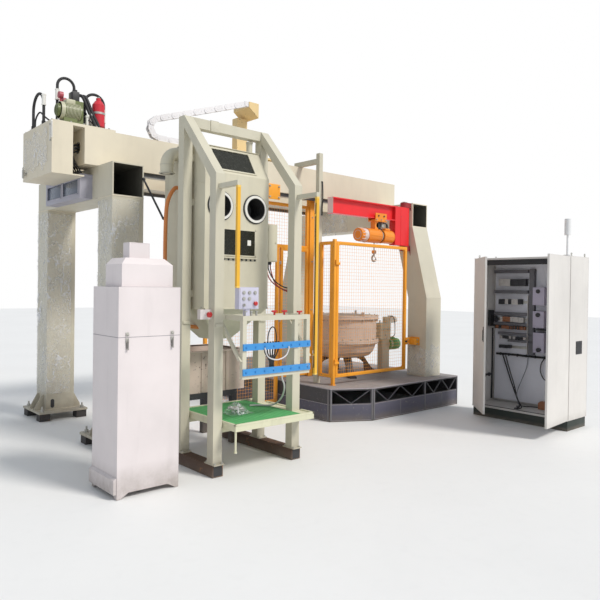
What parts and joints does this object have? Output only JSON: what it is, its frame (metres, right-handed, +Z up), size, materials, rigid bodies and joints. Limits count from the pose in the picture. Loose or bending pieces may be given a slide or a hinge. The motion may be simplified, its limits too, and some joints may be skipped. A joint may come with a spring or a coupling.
{
  "type": "die casting machine",
  "caption": "Gantry die casting machine with blasting chamber, furnace platform, jib hoist, fence gate, dust collector and switch cabinet.",
  "frame": {"origin": "centre of the plan area of the whole plant, on the floor", "axes": "+X along the gantry beams towards the furnace platform, +Y away from the operator station, +Z up"},
  "size_m": [5.381, 5.3236, 3.8459],
  "materials": {
    "cream": "satin paint",
    "grey_green": "satin paint",
    "dark_steel": "dull dark paint",
    "motor_green": "satin paint",
    "red": "gloss paint",
    "hose": "matt",
    "box_grey": "satin",
    "gold_cream": "satin paint",
    "chain_white": "satin",
    "rust": "rusty",
    "window": "tinted",
    "ring_white": "satin",
    "yellow": "satin paint",
    "blue": "satin paint",
    "panel": "satin",
    "stop_yellow": "satin",
    "table": "worn paint",
    "beige_pink": "heat resistant paint",
    "white": "satin paint",
    "deck": "dusty steel",
    "fence": "satin paint",
    "jib_red": "gloss paint",
    "hoist_orange": "gloss paint",
    "chain_steel": "worn",
    "cabinet_white": "textured paint",
    "plate": "satin",
    "lamp": "translucent",
    "drive": "satin"
  },
  "bodies": {
    "frame": {"left_columns": "cream", "column_blocks": "dark_steel", "left_cross_tube": "cream", "right_legs": "cream", "right_cross_tube": "cream", "gantry_beams": "cream", "beam_rails": "dark_steel", "oil_tank": "cream", "pump_unit": "motor_green", "accumulator": "red", "tank_hoses": "hose", "terminal_box": "box_grey", "carriage_tower": "gold_cream", "cable_chain": "chain_white", "station_side_frames": "grey_green", "station_top_bar": "grey_green", "station_skids": "rust", "chamber_shell": "grey_green", "chamber_windows": "window", "glove_rings": "ring_white", "chamber_hopper": "grey_green", "exhaust_elbows": "grey_green", "chamber_control_box": "box_grey", "light_curtains": "yellow", "curtain_arms": "grey_green", "tool_rack": "grey_green", "tool_bars": "blue", "operator_panel": "panel", "stop_box": "stop_yellow", "work_table": "table", "quench_tank": "beige_pink", "quench_stand": "dark_steel", "dust_collector": "white", "collector_fan_box": "white", "platform_deck": "deck", "platform_frame": "dark_steel", "arm_post": "grey_green", "gate_posts": "fence", "mesh_screen": "fence", "furnace_vessel": "beige_pink", "furnace_pedestal": "dark_steel", "furnace_drive": "drive", "jib_hinges": "jib_red", "cabinet_shell": "cabinet_white", "cabinet_plate": "plate", "signal_lamp": "lamp"},
    "gate": {"gate": "fence"},
    "near_door": {"cabinet_near_door": "cabinet_white"},
    "far_door": {"cabinet_far_door": "cabinet_white"},
    "jib": {"jib_arm": "jib_red"},
    "hoist": {"hoist": "hoist_orange", "hoist_chain": "chain_steel"},
    "hook": {"hoist_hook": "chain_steel"}
  },
  "joints": [
    {"name": "gate_swing", "type": "hinge", "parent": "frame", "child": "gate", "pos_m": [0.64, -0.434, 1.3], "axis": [0, 0, 1], "range_deg": [-95, 0]},
    {"name": "near_door_swing", "type": "hinge", "parent": "frame", "child": "near_door", "pos_m": [2.214, -2.593, 1], "axis": [0, 0, 1], "range_deg": [-95, 25]},
    {"name": "far_door_swing", "type": "hinge", "parent": "frame", "child": "far_door", "pos_m": [2.214, -1.379, 1], "axis": [0, 0, 1], "range_deg": [-44, 46]},
    {"name": "jib_slew", "type": "hinge", "parent": "frame", "child": "jib", "pos_m": [2.11, -0.29, 2.6], "axis": [0, 0, 1], "range_deg": [-24, 0]},
    {"name": "hoist_travel", "type": "slide", "parent": "jib", "child": "hoist", "axis": [-1, 0, 0], "range_m": [0, 0.5]},
    {"name": "hook_lift", "type": "slide", "parent": "hoist", "child": "hook", "axis": [0, 0, -1], "range_m": [0, 0.5], "deforming": ["hoist_chain"]}
  ]
}
